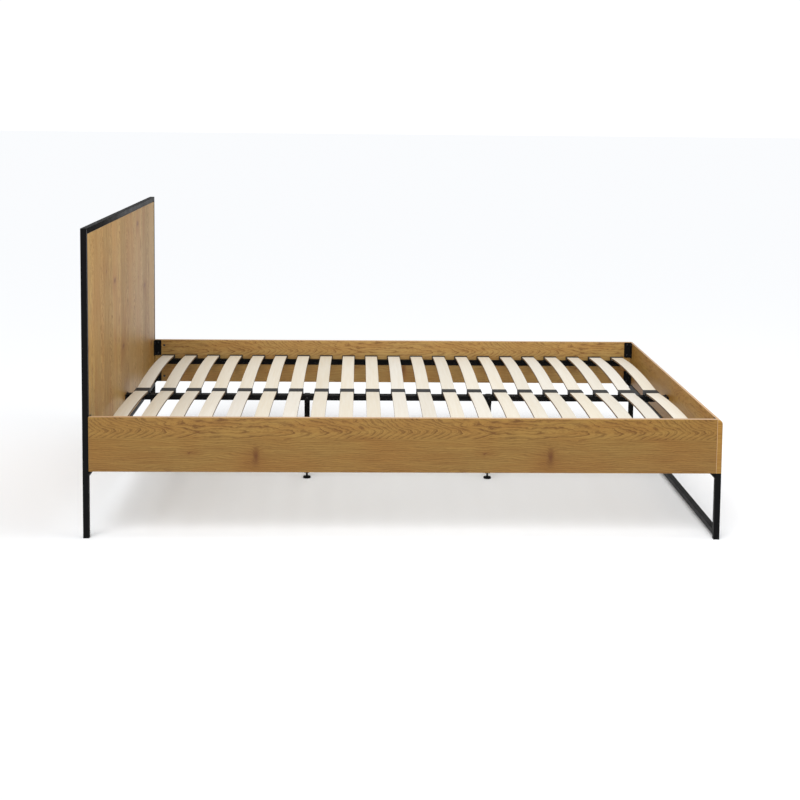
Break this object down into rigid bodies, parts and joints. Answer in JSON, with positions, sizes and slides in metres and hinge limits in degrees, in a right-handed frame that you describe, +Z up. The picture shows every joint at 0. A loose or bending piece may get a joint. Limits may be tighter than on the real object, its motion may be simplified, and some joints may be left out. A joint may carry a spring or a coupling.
{
  "type": "bed frame",
  "caption": "Slatted double bed frame with oak-look boards on a thin black square-tube frame, upright headboard, low footboard and sprung slats",
  "frame": {"origin": "on the floor under the middle of the frame's overall length and width", "axes": "+X from head to foot, +Y to the sleeper's left, +Z up"},
  "size_m": [2.12, 1.59, 1.03],
  "materials": {
    "black_steel": "satin black powder coat",
    "oak_board": "natural oak veneer, matt lacquer, grain along the board",
    "oak_headboard": "natural oak veneer, matt lacquer, upright grain",
    "birch_slat": "pale birch laminate, sealed",
    "black_rubber": "moulded, matt",
    "black_plastic": "moulded, matt",
    "dark_fastener": "blackened steel screws and bolts",
    "zinc_nut": "dull zinc"
  },
  "bodies": {
    "frame": {"barrel_nuts": "zinc_nut", "bracket_screws": "dark_fastener", "centre_leg_foot": "black_steel", "centre_leg_head": "black_steel", "centre_rail": "black_steel", "centre_rail_bracket_foot": "black_steel", "centre_rail_bracket_head": "black_steel", "centre_rail_screws": "dark_fastener", "centre_slat_caps": "black_rubber", "foot_corner_brackets_left": "black_steel", "foot_corner_brackets_right": "black_steel", "foot_floor_bar": "black_steel", "foot_post_left": "black_steel", "foot_post_right": "black_steel", "foot_top_tube": "black_steel", "footboard_panel": "oak_board", "head_corner_brackets_left": "black_steel", "head_corner_brackets_right": "black_steel", "head_post_left": "black_steel", "head_post_right": "black_steel", "headboard_lower_tube": "black_steel", "headboard_panel": "oak_headboard", "headboard_top_tube": "black_steel", "ledger_left": "black_steel", "ledger_right": "black_steel", "ledger_screws": "dark_fastener", "leg_inserts": "black_plastic", "leg_saddles": "black_steel", "outer_slat_caps_left": "black_rubber", "outer_slat_caps_right": "black_rubber", "panel_screws": "dark_fastener", "post_glides": "black_plastic", "rail_bolts": "dark_fastener", "rail_gussets": "black_steel", "side_rail_left": "oak_board", "side_rail_right": "oak_board", "slat_row_01": "birch_slat", "slat_row_02": "birch_slat", "slat_row_03": "birch_slat", "slat_row_04": "birch_slat", "slat_row_05": "birch_slat", "slat_row_06": "birch_slat", "slat_row_07": "birch_slat", "slat_row_08": "birch_slat", "slat_row_09": "birch_slat", "slat_row_10": "birch_slat", "slat_row_11": "birch_slat", "slat_row_12": "birch_slat", "slat_row_13": "birch_slat", "slat_row_14": "birch_slat", "slat_row_15": "birch_slat", "slat_row_16": "birch_slat", "slat_row_17": "birch_slat", "slat_row_18": "birch_slat", "slat_row_19": "birch_slat", "slat_row_20": "birch_slat", "slat_row_21": "birch_slat"},
    "head_adjuster": {"adjuster_foot_head": "black_steel"},
    "foot_adjuster": {"adjuster_foot_foot": "black_steel"}
  },
  "joints": [
    {"name": "head_adjuster_height", "type": "slide", "parent": "frame", "child": "head_adjuster", "axis": [0, 0, 1], "range_m": [0, 0.012]},
    {"name": "foot_adjuster_height", "type": "slide", "parent": "frame", "child": "foot_adjuster", "axis": [0, 0, 1], "range_m": [0, 0.012]}
  ]
}
